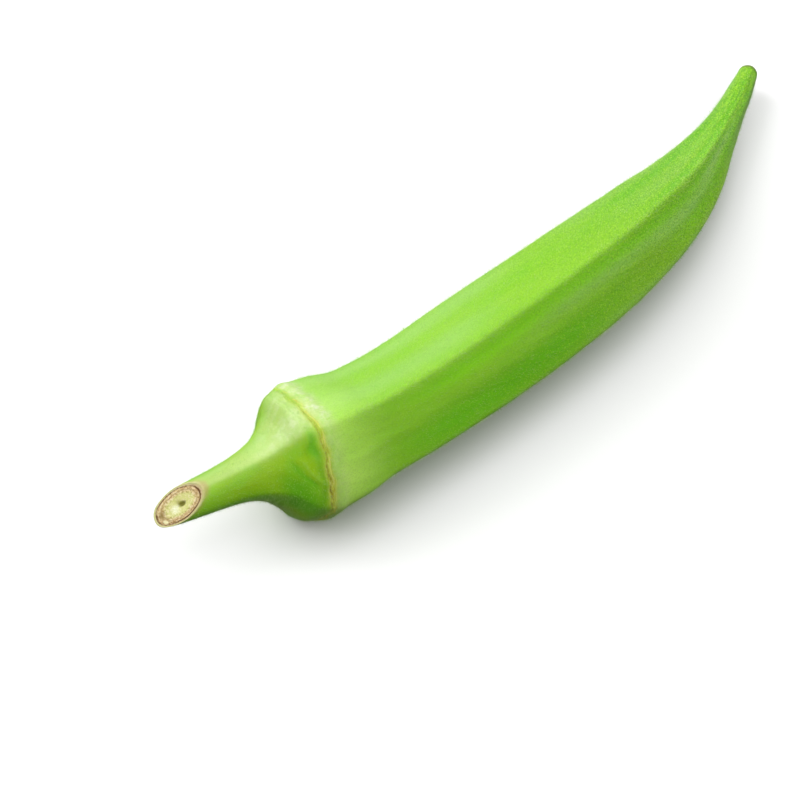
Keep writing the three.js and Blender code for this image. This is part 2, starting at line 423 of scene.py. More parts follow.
def skin_relief(place, angle):
    """Ribs and seams down the body, groove, lips and rim at the scar, hollows and folds, flutes on
    the stalk, and slow waves everywhere."""
    relief = bpy.context.scene.pod_relief
    ridge, seam = from_ridge(place, angle)
    body = plateau(place, 17, 24, 128, TIP_START)
    near_ends = 0.45 + 0.55 * np.maximum(bell(place - 22, 8), rise(place, 80, 110))
    lines = relief.rib_height * bell(ridge, RIB_HALF_WIDTH)
    lines = lines + relief.seam_height * near_ends * bell(seam, SEAM_HALF_WIDTH)
    behind = behind_scar(place, angle)
    thick = 0.8 + 0.35 * waves(0, angle, 13, 7, 9, 2, 1)
    thick = thick * (0.45 + 0.55 * patch(angle, -40, 50))
    scar = -relief.groove_depth * thick * bell(behind, GROOVE_HALF_WIDTH)
    scar = scar + BACK_LIP * MM * thick * bell(behind - 0.36, 0.15)
    scar = scar + FRONT_LIP * MM * bell(behind + 0.3, 0.14)
    scar = scar + relief.rim_height * bell(behind - RIM_BEHIND, RIM_HALF_WIDTH)
    dark_fold = DARK_FOLD_DEPTH * fold_ahead(behind, angle)
    forms = relief.form_scale * (sum_of_forms(behind, angle) - dark_fold)
    on_stalk = plateau(place, 0, 4, 8, 13)
    threads = 0.003 * waves(place, angle, 14, 8, 22, 60, 25)
    flutes = on_stalk * MM * (FLUTE_HEIGHT * np.cos(SIDES * angle) + threads)
    slow = relief.unevenness * waves(place, angle, 15, 14, 6, 45, 9)
    slow = slow * (0.35 + 0.65 * rise(place, 12, 30))
    fine = FINE_WAVE_HEIGHT * MM * waves(place, angle, 16, 16, 34, 12, 3.5)
    fine = fine * (0.15 + 0.85 * rise(place, 11, 20))
    return (lines * body + scar + forms + flutes + slow + fine) / MM


def cut_normal():
    """The way the cut faces: back along the stalk and up."""
    level = np.cos(CUT_RISE)
    return np.array([level * np.cos(CUT_TURN), level * np.sin(CUT_TURN), np.sin(CUT_RISE)])


def skin_points(place, angle, lift=0.0):
    """A point of the skin: out from the middle line by the five-sided reach plus the relief, all
    drawn in to the tip as an ellipse, then slid along the stalk so that the end is a slanting
    plane. The shoulder leans a little, as the scar does. The angle is counted from the first
    ridge."""
    place, angle = np.broadcast_arrays(np.asarray(place, float), np.asarray(angle, float))
    middle, along, side, up = frame_at(place)
    turn = angle + ridge_angle(place)
    tip = np.clip((place - TIP_START) / (POD_LENGTH - TIP_START), 0, 1)
    lean = SHOULDER_LEAN * plateau(place, 11.5, 15, 20, 27)
    reach = smooth_through(REACHES, np.minimum(place - lean * np.cos(turn - SCAR_LEAN_TURN), TIP_START))
    corner = angle - CONE_TWIST * (1 - rise(place, 12.5, 17))
    shaped = reach * (1 + smooth_through(ANGULARITIES, place) * (pentagon_reach(corner) - 1))
    distance = (shaped + skin_relief(place, angle)) * np.sqrt(1 - tip * tip) + lift
    out = np.cos(turn)[..., None] * side + np.sin(turn)[..., None] * up
    normal = cut_normal()
    slant = -distance * (out @ normal) / (along @ normal) - CUT_AHEAD
    slide = slant * (1 - rise(place, 0, CUT_REACH))
    return middle + out * distance[..., None] + along * slide[..., None]


def cut_points(part, depth, angle):
    """A point of the cut: part of the way from the pith hole to the edge of the cut, and a depth
    under its plane."""
    part, depth, angle = np.broadcast_arrays(part, depth, angle)
    middle, _, side, up = frame_at(0.0)
    normal = cut_normal()
    edge = skin_points(np.zeros_like(angle), angle)
    hole = middle + PITH_HOLE_OFFSET[0] * side + PITH_HOLE_OFFSET[1] * up
    hole = hole + ((edge - hole) @ normal).mean() * normal
    return hole + (edge - hole) * part[..., None] - normal * depth[..., None]


def cut_middle(depth):
    """The point under the middle of the pith hole, a depth under the cut's plane."""
    return cut_points(np.zeros(1), np.full(1, depth), np.zeros(1))


def row_places():
    """Places of the skin's rows, closer at the scar and gathered as a sine towards the tip."""
    places = [np.zeros(1)]
    start = 0.0
    for end, step in ROW_STEPS:
        count = round((end - start) / step)
        places.append(start + (end - start) * np.arange(1, count + 1) / count)
        start = end
    last = np.sin(np.arange(1, TIP_ROWS) / TIP_ROWS * np.pi / 2)
    places.append(start + (POD_LENGTH - start) * last)
    return np.concatenate(places)


def column_angles(count):
    return np.arange(count) / count * 2 * np.pi


@functools.lru_cache(maxsize=1)
def pod_shift():
    """What moves the pod from its middle line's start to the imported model's box, with its lowest
    places pressed flat on the surface."""
    grid = skin_points(row_places()[:, None], column_angles(COLUMNS)[None, :]).reshape(-1, 3)
    low, high = (np.array(corner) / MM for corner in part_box(NODE))
    shift = (low + high) / 2 - (grid.min(0) + grid.max(0)) / 2
    shift[2] = -grid[:, 2].min() - REST_FLAT_DEPTH
    return shift


def laid_down(points):
    """Own millimetres to the model's metres, with nothing left under the surface."""
    placed = points + pod_shift()
    placed[..., 2] = np.maximum(placed[..., 2], 0)
    return placed * MM


# ---- Meshes ----
def closed_grid_faces(rows, columns):
    """Quads of a grid that closes round its columns, and fans to a pole before its first row and
    one after its last. Points are pole, rows in order, pole."""
    row, column = np.meshgrid(np.arange(rows - 1), np.arange(columns), indexing="ij")
    beside = (column + 1) % columns
    here, there = 1 + row * columns, 1 + (row + 1) * columns
    quads = np.stack([here + column, there + column, there + beside, here + beside], -1).reshape(-1, 4)
    column = np.arange(columns)
    beside = (column + 1) % columns
    last = 1 + (rows - 1) * columns
    first_fan = np.stack([np.zeros_like(column), 1 + column, 1 + beside], -1)
    last_fan = np.stack([np.full_like(column, 1 + rows * columns), last + beside, last + column], -1)
    return quads, np.concatenate([first_fan, last_fan])


def spike_faces(count):
    """Closed three-sided spikes: three root points and a tip each."""
    first = np.arange(count)[:, None] * 4
    corners = np.array([[0, 1, 3], [1, 2, 3], [2, 0, 3], [0, 2, 1]])
    return (first[:, :, None] + corners[None]).reshape(-1, 3)


def new_piece(name, points, faces, finish, smooth=True):
    """A mesh object from arrays of points in metres and of faces, with its material, riding on the
    pod."""
    mesh = bpy.data.meshes.new(name)
    loops = np.concatenate([group.ravel() for group in faces])
    sizes = np.concatenate([np.full(len(group), group.shape[1]) for group in faces])
    mesh.vertices.add(len(points))
    mesh.vertices.foreach_set("co", np.asarray(points, np.float32).ravel())
    mesh.loops.add(len(loops))
    mesh.loops.foreach_set("vertex_index", loops.astype(np.int32))
    mesh.polygons.add(len(sizes))
    starts = np.concatenate(([0], np.cumsum(sizes)[:-1]))
    mesh.polygons.foreach_set("loop_start", starts.astype(np.int32))
    mesh.polygons.foreach_set("use_smooth", np.full(len(sizes), smooth))
    mesh.update(calc_edges=True)
    mesh.validate()
    piece = bpy.data.objects.new(name, mesh)
    bpy.context.scene.collection.objects.link(piece)
    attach(piece, BODY)
    mesh.materials.append(finish)
    return piece


def add_vectors(piece, name, vectors):
    """A vector for each point, which the piece's material reads by name."""
    layer = piece.data.attributes.new(name, "FLOAT_VECTOR", "POINT")
    layer.data.foreach_set("vector", np.asarray(vectors, np.float32).ravel())


def add_unrolled_map(piece, across, down):
    """A map of the piece rolled out flat: each point's share round and down the piece, with the
    faces over the join carried on past 1."""
    mesh = piece.data
    loops = np.empty(len(mesh.loops), np.int32)
    mesh.loops.foreach_get("vertex_index", loops)
    starts = np.empty(len(mesh.polygons), np.int32)
    mesh.polygons.foreach_get("loop_start", starts)
    u, v = across[loops], down[loops]
    highest = np.maximum.reduceat(u, starts)
    sizes = np.diff(np.append(starts, len(loops)))
    over_join = (np.repeat(highest, sizes) - u) > 0.5
    u = np.where(over_join, u + 1, u)
    layer = mesh.uv_layers.new(name="OFBake")
    unrolled = np.stack([u * MAP_WIDTH + MAP_MARGIN, v * MAP_HEIGHT + MAP_MARGIN], -1)
    layer.data.foreach_set("uv", unrolled.astype(np.float32).ravel())


# ---- Shader maths ----
def maths(operation, swapped=False):
    """A method that adds one Math node for its wire and what it is reckoned with."""
    def reckon(self, *others):
        values = (*others, self) if swapped else (self, *others)
        sockets = dict(enumerate(values))
        return self.finish.node("ShaderNodeMath", {"operation": operation}, sockets)
    return reckon


class Wire:
    """A shader value that can be reckoned with."""

    def __init__(self, finish, socket):
        self.finish = finish
        self.socket = socket

    __add__ = __radd__ = maths("ADD")
    __mul__ = __rmul__ = maths("MULTIPLY")
    __sub__ = maths("SUBTRACT")
    __rsub__ = maths("SUBTRACT", swapped=True)
    __truediv__ = maths("DIVIDE")
    __rtruediv__ = maths("DIVIDE", swapped=True)
    size = maths("ABSOLUTE")
    exponent = maths("EXPONENT")
    larger = maths("MAXIMUM")

    def rise(self, low, high):
        """A smooth step from 0 at low to 1 at high."""
        settings = {"interpolation_type": "SMOOTHSTEP"}
        sockets = {"Value": self, "From Min": low, "From Max": high}
        return self.finish.node("ShaderNodeMapRange", settings, sockets)

    def bell(self, centre, half_width):
        """A smooth bump of height 1 round a centre."""
        from_centre = (self - centre) / half_width
        return (from_centre * from_centre * -1.0).exponent()


class Finish:
    """A material, or the world, and the nodes that are built in it."""

    def __init__(self, owner, last="Principled BSDF"):
        owner.use_nodes = True
        self.owner = owner
        self.tree = owner.node_tree
        self.last = self.tree.nodes[last]

    def node(self, kind, settings, sockets, output=0):
        """Any node: its settings are set first, then its sockets get values or links."""
        node = self.tree.nodes.new(kind)
        for key, value in settings.items():
            setattr(node, key, value)
        for key, value in sockets.items():
            self.plug(node.inputs[key], value)
        return Wire(self, node.outputs[output])

    def plug(self, socket, value):
        if isinstance(value, Wire):
            self.tree.links.new(value.socket, socket)
        elif socket.type == "RGBA" and len(value) == 3:
            socket.default_value = (*value, 1)
        else:
            socket.default_value = value

    def mix(self, first, second, share):
        """Colour first where share is 0 and second where it is 1."""
        sockets = {0: share, 6: first, 7: second}
        return self.node("ShaderNodeMix", {"data_type": "RGBA"}, sockets, output=2)

    def painted(self, colour, *layers):
        """The colour with each layer, a colour and its share, mixed over it in turn."""
        for layer, share in layers:
            colour = self.mix(colour, layer, share)
        return colour

    def parts(self, name):
        """The three numbers of a vector that the mesh holds for each point."""
        vector = self.vector(name)
        return [self.node("ShaderNodeSeparateXYZ", {}, {0: vector}, output=k) for k in range(3)]

    def vector(self, name):
        return self.node("ShaderNodeAttribute", {"attribute_name": name}, {}, output="Vector")

    def scaled(self, vector, scale):
        sockets = {0: vector, 1: scale}
        return self.node("ShaderNodeVectorMath", {"operation": "MULTIPLY"}, sockets)

    def noise(self, vector, scale, detail, roughness):
        sockets = {"Vector": vector, "Scale": scale, "Detail": detail, "Roughness": roughness}
        return self.node("ShaderNodeTexNoise", {}, sockets)

    def dots(self, vector, scale):
        """Distance to the nearest of many scattered points, in cells."""
        sockets = {"Vector": vector, "Scale": scale}
        return self.node("ShaderNodeTexVoronoi", {}, sockets, output="Distance")

    def bump(self, height, distance, strength, over=None):
        sockets = {"Height": height, "Distance": distance, "Strength": strength}
        if over is not None:
            sockets["Normal"] = over
        return self.node("ShaderNodeBump", {}, sockets)

    def shade(self, values):
        for key, value in values.items():
            self.plug(self.last.inputs[key], value)
        return self.owner


# ---- Finishes ----
# Colours of small marks: linear red, green and blue.
TIP_GREEN = (0.288, 0.585, 0.001)
TIP_RIDGE_GREEN = (0.380, 0.700, 0.010)
# Painted highlight: the white shine on the swelling behind the scar.
SHOULDER_HIGHLIGHT_WHITE = (0.800, 0.840, 0.600)
# Painted highlight: the whitish shine on the cone's top.
CONE_HIGHLIGHT_WHITE = (0.780, 0.840, 0.560)
# Painted shade: dark green in the fold ahead of the scar, under the overhanging ring.
FOLD_SHADE_GREEN = (0.150, 0.465, 0.001)
SCAR_CREAM = (0.780, 0.800, 0.180)
SCAR_BROWN = (0.360, 0.260, 0.004)
SCAR_STRAW = (0.70, 0.73, 0.22)
DARK_SPECKLE = (0.080, 0.300, 0.003)
PALE_SPECK = (0.500, 0.800, 0.050)
WITHERED_BROWN = (0.13, 0.13, 0.06)
CUT_EDGE_TAN = (0.460, 0.310, 0.125)
RIND_CREAM = (0.600, 0.540, 0.280)
RIND_BROWN = (0.500, 0.350, 0.160)
PINK_WOOD = (0.60, 0.38, 0.20)
PALE_FIBRE = (0.78, 0.68, 0.42)
DARK_FIBRE = (0.26, 0.16, 0.03)
PATCH_BROWN = (0.20, 0.13, 0.02)
# Painted highlight: the white shine on the wet spot of pith.
WET_HIGHLIGHT_WHITE = (0.88, 0.90, 0.70)
INNER_RING_BROWN = (0.200, 0.140, 0.020)
CHIP_CREAM = (0.80, 0.74, 0.42)
RING_BROWN = (0.120, 0.055, 0.010)
# Painted shade in the pith's trough and in its hole.
TROUGH_SHADE_OLIVE = (0.26, 0.25, 0.03)
HOLE_SHADE_OLIVE = (0.17, 0.16, 0.006)


def skin_finish(colours):
    """Waxy green skin: yellower ridges and tip; pale streaks that are painted sheen on the faces
    and painted light on the shaded face near the tip; fuller green streaks, painted shade under the
    cone and below the first ridge; fresher green streaks, painted light on the lower face near the
    tip; younger green towards the scar, partly painted light on the lower shoulder; a pale shoulder,
    partly a painted highlight; an olive cone with a painted highlight on its top, painted shade in its
    hollows and a painted highlight on its folds; a corky scar with painted shade in the fold ahead of
    it; a tan edge at the cut; and fine grain with pale specks where hairs stand."""
    f = Finish(bpy.data.materials.new("okra skin"))
    along, ridge, behind = f.parts("lie")
    dry, fresh_and_lit_streak, hollow = f.parts("edges")
    pale_streak, full_streak, fold = f.parts("tone")
    grain = f.vector("grain")
    streaks = f.noise(f.scaled(grain, (1, 1, 0.12)), 0.9, 3.0, 0.6)
    blotches = f.noise(f.scaled(grain, (1, 1, 0.5)), 0.30, 3.0, 0.6)
    mottle = f.noise(grain, 1.5, 3.0, 0.65)
    fine = f.noise(grain, 4.6, 3.0, 0.85)
    strands = f.noise(f.scaled(grain, (1, 1, 0.10)), 2.4, 3.0, 0.6)
    cords = f.noise(f.scaled(grain, (0.26, 0.26, 2.4)), 2.2, 3.0, 0.7)
    furrows = f.noise(f.scaled(grain, (1, 1, 0.08)), 1.6, 3.0, 0.6)
    specks = 1 - f.dots(grain, 3.0).rise(0.14, 0.36)
    white = pale_streak * f.noise(grain, 0.8, 2.0, 0.6).rise(0.42, 0.68)
    ragged = behind + (f.noise(grain, 3.6, 4.0, 0.7) - 0.5) * 0.40
    from_cut = along + (f.noise(grain, 4.0, 3.0, 0.8) - 0.5) * 0.9
    on_body = behind.rise(0.2, 2.0)
    on_cone = 1 - behind.rise(-0.4, 0.1)
    young_and_lit = (1 - behind.rise(0.5, 12.0)) * on_body
    shoulder = behind.rise(0.15, 0.65) * (1 - behind.rise(0.9, 3.6))
    toward_tip = along.rise(60.0, 125.0)
    near_tip = along.rise(98.0, 126.0)
    speckled = 0.20 + along.rise(30.0, 120.0) * 0.9
    withered = (along + (fine - 0.5) * 2.4).rise(135.3, 136.9)
    body = f.painted(
        colours.leaf,
        (colours.bright, streaks.rise(0.35, 0.65) * 0.35 + blotches.rise(0.40, 0.64) * 0.25),
        (TIP_GREEN, toward_tip * 0.85),
        (TIP_RIDGE_GREEN, toward_tip * ridge.bell(0.0, 1.7) * 0.5),
        (colours.bright, ridge.bell(0.0, 0.35) * on_body * 0.5),
        # Brighter green streaks; on the lower face near the tip they are painted light on the shaded
        # side.
        (colours.fresh, fresh_and_lit_streak),
        # Painted sheen: greyish pale streaks down the faces, and painted light on the shaded face near
        # the tip.
        (colours.bloom_and_sheen, pale_streak * (0.55 + streaks * 0.5)),
        # Fuller green streaks; the one just below the first ridge is painted shade.
        (colours.vivid, full_streak * (0.65 + mottle * 0.4)),
        (colours.deep, mottle.rise(0.52, 0.30) * (0.10 + toward_tip * 0.22)),
        # Younger green towards the scar, strongest on the lower side, where it is partly painted light
        # that brightens the shaded lower shoulder.
        (colours.young_and_lit, young_and_lit * (dry * 0.82 + blotches * 0.2)),
        # The pale shoulder is partly the skin's own paler colour and partly a painted highlight on the
        # swelling's top; its white patches are a painted highlight.
        (colours.pale, shoulder * (0.20 + pale_streak * 0.45 + mottle.rise(0.38, 0.58) * 0.20)),
        (SHOULDER_HIGHLIGHT_WHITE, shoulder * white * 0.80),
    )
    cone = f.painted(
        colours.olive,
        (colours.leaf, blotches.rise(0.40, 0.60) * 0.6),
        # Painted shade in the cone's hollows and a painted highlight on its raised folds, following the
        # relief.
        (colours.deep, hollow.rise(0.02, 0.26) * 0.85),
        (colours.bloom_and_sheen, (0.0 - hollow).rise(0.03, 0.18) * 0.35),
        # Painted shade under the cone: the fuller green streak on its underside.
        (colours.vivid, full_streak * 0.8),
        # Painted highlight: the pale streaks and white patches on the cone's top stand for the lamps'
        # shine there.
        (colours.pale, pale_streak * (0.55 + mottle * 0.2)),
        (CONE_HIGHLIGHT_WHITE, white * behind.rise(-9.0, -2.0) * 0.30),
    )
    colour = f.painted(
        body,
        (cone, on_cone),
        # Painted shade in the fold ahead of the scar.
        (FOLD_SHADE_GREEN, fold * (0.95 + mottle * 0.5)),
        (colours.tan, ragged.bell(0.16, 0.50) * (0.16 + dry * 0.74)),
        (SCAR_CREAM, ragged.bell(0.16, 0.46) * cords.rise(0.50, 0.62) * dry * 0.70),
        (SCAR_BROWN, ragged.bell(0.18, 0.28) * cords.rise(0.50, 0.38) * dry * 0.62),
        (colours.rust, ragged.bell(0.02, 0.11) * dry * (0.25 + mottle.rise(0.42, 0.62) * 0.65)),
        (CUT_EDGE_TAN, (1 - from_cut.rise(0.2, 1.1)) * dry * 0.65),
        (RIND_CREAM, (1 - from_cut.rise(0.02, 0.32)) * (1.0 - dry * 0.55)),
        (colours.deep, near_tip * (0.06 + strands.rise(0.48, 0.60) * 0.5)),
        (colours.fresh, near_tip * strands.rise(0.44, 0.34) * 0.30),
        (DARK_SPECKLE, fine.rise(0.54, 0.38) * speckled * (0.4 + on_body * 0.6)),
        (PALE_SPECK, specks * speckled * (0.5 + on_body * 0.6)),
        (WITHERED_BROWN, withered * 0.8),
    )
    corky = ragged.bell(0.2, 0.5).larger(1 - along.rise(0.0, 0.6)).larger(withered)
    waxy = on_cone * (0.10 + pale_streak.rise(0.0, 0.5) * 0.65) + 0.05
    cells = f.bump(fine, 0.07 * MM, 0.4)
    bumps = f.bump(specks, 0.03 * MM, 0.5, over=cells)
    return f.shade({
        "Base Color": colour, "Roughness": 0.46 - on_cone * 0.06 + mottle * 0.08 + corky * 0.35,
        "Normal": f.bump(furrows * on_body, 0.10 * MM, 0.15, over=bumps),
        "Coat Weight": waxy * (1 - fold), "Coat Roughness": 0.42, "Coat IOR": 1.5,
        "Subsurface Weight": 0.15, "Subsurface Radius": (0.6, 1.0, 0.2), "Subsurface Scale": 1.0 * MM,
        "Sheen Weight": 0.06, "Sheen Roughness": 0.3, "Sheen Tint": (0.85, 0.95, 0.65, 1),
        "Specular IOR Level": 0.26,
    })


def cut_finish(colours):
    """Cut stalk: cream rind, a thin dark ring, fibrous pinkish-tan wood with a broken inner ring, a
    brown patch, an arc and a crack, and yellow-green pith with a painted highlight on a wet spot,
    painted shade in a trough and painted shade in its hole. Each mark lies so far across and upward
    from the hole, in millimetres."""
    f = Finish(bpy.data.materials.new("okra cut flesh"))
    part, across, upward = f.parts("cut")
    spot = f.vector("cut_mm")

    def mark(right, half_width, up, half_height):
        return across.bell(right, half_width) * upward.bell(up, half_height)

    fibre = f.noise(spot, 3.4, 4.0, 0.8)
    coarse = f.noise(spot, 1.3, 3.0, 0.6)
    edge = part + (fibre - 0.5) * 0.06 + (coarse - 0.5) * 0.08
    edge = edge + (across * 0.6 + upward * 0.8) * 0.013
    brown = mark(-1.95, 0.40, -2.44, 0.50)
    arc = mark(-1.05, 0.60, -2.60, 0.13)
    crack = mark(-1.31, 0.24, -3.28, 0.06)
    chip = mark(-0.96, 0.45, -3.03, 0.30)
    wet = mark(-0.55, 0.55, -1.05, 0.55)
    trough = mark(-0.44, 0.52, -0.06, 0.32)
    hole = 1 - part.rise(0.06, 0.19)
    thick = across.bell(1.4, 1.3).larger(mark(-2.3, 0.6, -3.2, 0.6))
    inner_ring = edge.bell(0.70, 0.022) * fibre.rise(0.40, 0.56)
    ring = (edge - 0.862 + (fibre - 0.5) * 0.06).size().rise(0.036 + thick * 0.032, 0.008)
    colour = f.painted(
        colours.pith,
        (colours.flesh, edge.rise(0.50, 0.68)),
        (PINK_WOOD, coarse.rise(0.42, 0.62) * edge.rise(0.5, 0.7) * 0.6),
        (PALE_FIBRE, fibre.rise(0.50, 0.58) * (0.55 + edge.rise(0.3, 0.6) * 0.25)),
        (DARK_FIBRE, fibre.rise(0.48, 0.40) * edge.rise(0.38, 0.60) * 0.8),
        (PATCH_BROWN, (brown + arc * 0.8).larger(crack) * (0.55 + fibre * 0.5)),
        # Painted highlight on the wet spot of pith.
        (WET_HIGHLIGHT_WHITE, wet * (0.55 + fibre.rise(0.4, 0.6) * 0.4)),
        (INNER_RING_BROWN, inner_ring * 0.75),
        (CHIP_CREAM, chip.rise(0.3, 0.7) * 0.9),
        (RING_BROWN, ring * (0.55 + coarse.rise(0.38, 0.58) * 0.35 + thick * 0.3)),
        (f.mix(RIND_CREAM, RIND_BROWN, thick * 0.6), edge.rise(0.885, 0.92) * 0.9),
        # Painted shade in the trough, which has no relief, and in the pith hole on top of its real
        # depth.
        (TROUGH_SHADE_OLIVE, trough * 0.85),
        (HOLE_SHADE_OLIVE, hole * 0.9),
    )
    return f.shade({
        "Base Color": colour, "Roughness": 0.62 - wet * 0.3 + ring * 0.2,
        "Normal": f.bump(fibre * 0.6 + coarse * 0.4, 0.10 * MM, 0.8),
        "Subsurface Weight": 0.12, "Subsurface Radius": (1.0, 0.7, 0.3), "Subsurface Scale": 0.8 * MM,
        "Specular IOR Level": 0.4,
    })


def scar_finish(colours):
    """Dried tissue of the scar: tan, with rust-brown and straw-coloured strands."""
    f = Finish(bpy.data.materials.new("okra scar cork"))
    place = f.node("ShaderNodeTexCoord", {}, {}, output="Object")
    fine = f.noise(place, 5200.0, 3.0, 0.6)
    slow = f.noise(place, 420.0, 2.0, 0.5)
    colour = f.mix(colours.tan, colours.rust, slow.rise(0.45, 0.68) * 0.3)
    colour = f.mix(colour, SCAR_STRAW, fine.rise(0.4, 0.6) * 0.6)
    return f.shade({
        "Base Color": colour, "Roughness": 0.7 + fine * 0.15,
        "Normal": f.bump(fine, 0.06 * MM, 0.6), "Specular IOR Level": 0.3,
    })


def hair_finish(colours):
    """Pale hairs, each patch of them a little greener or whiter than the next."""
    f = Finish(bpy.data.materials.new("okra hair"))
    place = f.node("ShaderNodeTexCoord", {}, {}, output="Object")
    patches = f.noise(place, 300.0, 3.0, 0.6)
    colour = f.mix(colours.hair, colours.bloom_and_sheen, patches.rise(0.35, 0.65))
    return f.shade({
        "Base Color": colour, "Roughness": 0.40 + patches * 0.15, "Specular IOR Level": 0.5,
    })


# ---- Pieces ----
class OKRA_OT_skin(bpy.types.Operator):
    """Make the skin: one closed surface from a socket in the cut stalk to the tip"""

    bl_idname = "okra.skin"
    bl_label = "Skin"

    SOCKET_DEPTH = 0.7
    # Part of the way out from the pith hole, and depth: the socket's floor and wall, then the rind.
    RIND = (
        (0.45, SOCKET_DEPTH), (0.89, SOCKET_DEPTH), (0.895, 0.3), (0.90, 0.12), (0.92, 0.04),
        (0.955, -0.02), (0.985, -0.02),
    )
    # Share of the rolled-out map that the rind takes up.
    RIND_SHARE = 0.02

    def execute(self, context):
        angles = column_angles(COLUMNS)
        places = row_places()
        parts, depths = np.array(self.RIND).T
        rind = cut_points(parts[:, None], depths[:, None], angles[None, :])
        body = skin_points(places[:, None], angles[None, :])
        grid = np.concatenate([rind, body])
        tip = frame_at(np.array([POD_LENGTH]))[0]
        points = np.concatenate([cut_middle(self.SOCKET_DEPTH), grid.reshape(-1, 3), tip])
        faces = closed_grid_faces(len(grid), COLUMNS)
        finish = skin_finish(context.scene.pod_colours)
        piece = new_piece("pod_skin", laid_down(points), faces, finish)
        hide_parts(NODE)
        self.add_lie(piece, places, angles, len(rind))
        return {"FINISHED"}

    def add_lie(self, piece, places, angles, rind_rows):
        """What the material reads: lie is (place, from the ridge, behind the scar), edges is (how
        dry the scar or the cut's edge is, brighter green streaks that are partly painted light, hollows
        less folds, which place painted shade and painted highlight on the cone), tone is (pale streaks
        of painted sheen and highlight, fuller green streaks that are partly painted shade, the fold
        ahead of the scar, which holds painted shade), and grain is the place on the pod bent straight."""
        place = np.concatenate([np.zeros(rind_rows), places])[:, None]
        angle = angles[None, :]
        behind = behind_scar(place, angle)
        reach = smooth_through(REACHES, np.minimum(place, TIP_START))
        kinds = (PALE_STREAKS, FULL_STREAKS, FRESH_AND_LIT_STREAKS)
        pale, full, fresh = (streak_tone(streaks, place, angle) for streaks in kinds)
        fields = {
            "lie": (place, from_ridge(place, angle)[0], behind),
            "edges": (self.dryness(place, angle), fresh, -sum_of_forms(behind, angle)),
            "tone": (pale, full, fold_ahead(behind, angle)),
            "grain": (reach * np.cos(angle), reach * np.sin(angle), place),
        }
        for name, parts in fields.items():
            flat = np.stack(np.broadcast_arrays(*parts), -1).reshape(-1, 3)
            poles = flat[[0, -1]] * (1, 0, 1)
            add_vectors(piece, name, np.concatenate([poles[:1], flat, poles[1:]]))
        rind_down = np.linspace(0, self.RIND_SHARE, rind_rows, endpoint=False)
        body_down = self.RIND_SHARE + (1 - self.RIND_SHARE) * places / POD_LENGTH
        down = np.concatenate([rind_down, body_down])[:, None]
        down, across = (grid.ravel() for grid in np.broadcast_arrays(down, angle / (2 * np.pi)))
        across = np.concatenate([[0.5], across, [0.5]])
        add_unrolled_map(piece, across, np.concatenate([[0], down, [1]]))

    @staticmethod
    def dryness(place, angle):
        """How dry the corky edges are: the scar most on the -Y side and least past the top, the
        cut's edge most beside the first ridge, and both uneven."""
        scar = 0.30 + 0.70 * patch(angle, -42, 38) - 0.24 * patch(angle, 74, 32)
        cut_edge = 0.25 + 0.75 * patch(angle, 5, 48)
        dry = scar + (1 - rise(place, 3, 6)) * (cut_edge - scar)
        uneven = 0.08 + 0.22 * patch(angle, -35, 62)
        return dry + uneven * waves(0, angle, 17, 8, 12, 2, 1)


class OKRA_OT_cut_face(bpy.types.Operator):
    """Make the cut's flesh: a closed plug that fills the socket in the stalk"""

    bl_idname = "okra.cut_face"
    bl_label = "Cut face"

    ROWS = 90
    COLUMNS = 200
    OUTER_PART = 0.93
    BACK_DEPTH = 0.62
    # Part of the way out and depth of the plug's side and back, from its front edge inwards.
    BACK = ((0.94, 0.3), (0.9, 0.6), (0.4, BACK_DEPTH))
    HOLE_DEPTH = 0.30
    DISH_DEPTH = 0.10
    INNER_RING_DEPTH = 0.03
    GROOVE_DEPTH = 0.07
    ROUGHNESS = 0.012

    def execute(self, context):
        angle = column_angles(self.COLUMNS)[None, :]
        front = np.linspace(0.01, self.OUTER_PART, self.ROWS)[:, None]
        back, back_depths = np.array(self.BACK).T[..., None]
        parts = np.concatenate([front, back]) + 0 * angle
        depths = np.concatenate([self.depth(front, angle), back_depths + 0 * angle])
        grid = cut_points(parts, depths, angle)
        hole = cut_middle(self.depth(0.0, 0.0))
        points = np.concatenate([hole, grid.reshape(-1, 3), cut_middle(self.BACK_DEPTH)])
        faces = closed_grid_faces(len(grid), self.COLUMNS)
        finish = cut_finish(context.scene.pod_colours)
        piece = new_piece("cut_face", laid_down(points), faces, finish)
        part = np.concatenate([[0], parts.ravel(), [0]])
        normal = cut_normal()
        across = unit(np.cross(frame_at(0.0)[3], normal))
        flat = (points - points[0]) @ np.stack([across, np.cross(normal, across), normal], -1)
        add_vectors(piece, "cut", np.stack([part, flat[:, 0], flat[:, 1]], -1))
        add_vectors(piece, "cut_mm", flat)
        return {"FINISHED"}

    def depth(self, part, angle):
        """The hole, a shallow dish of pith, a broken inner ring and a groove inside the rind."""
        wander = 0.012 * waves(0, angle, 21, 8, 9, 2, 1)
        hole = self.HOLE_DEPTH * (1 - rise(part, 0.04, 0.19))
        dish = self.DISH_DEPTH * bell(part, 0.5)
        inner = self.INNER_RING_DEPTH * bell(part - 0.66 - wander, 0.03)
        inner = inner * (0.6 + 0.5 * waves(0, angle, 22, 8, 30, 2, 1))
        groove = self.GROOVE_DEPTH * bell(part - 0.855 - wander, 0.03)
        rough = self.ROUGHNESS * waves(part * 40, angle, 23, 14, 40, 9, 2)
        return hole + dish + inner + groove + rough * (1 - bell(part, 0.2))


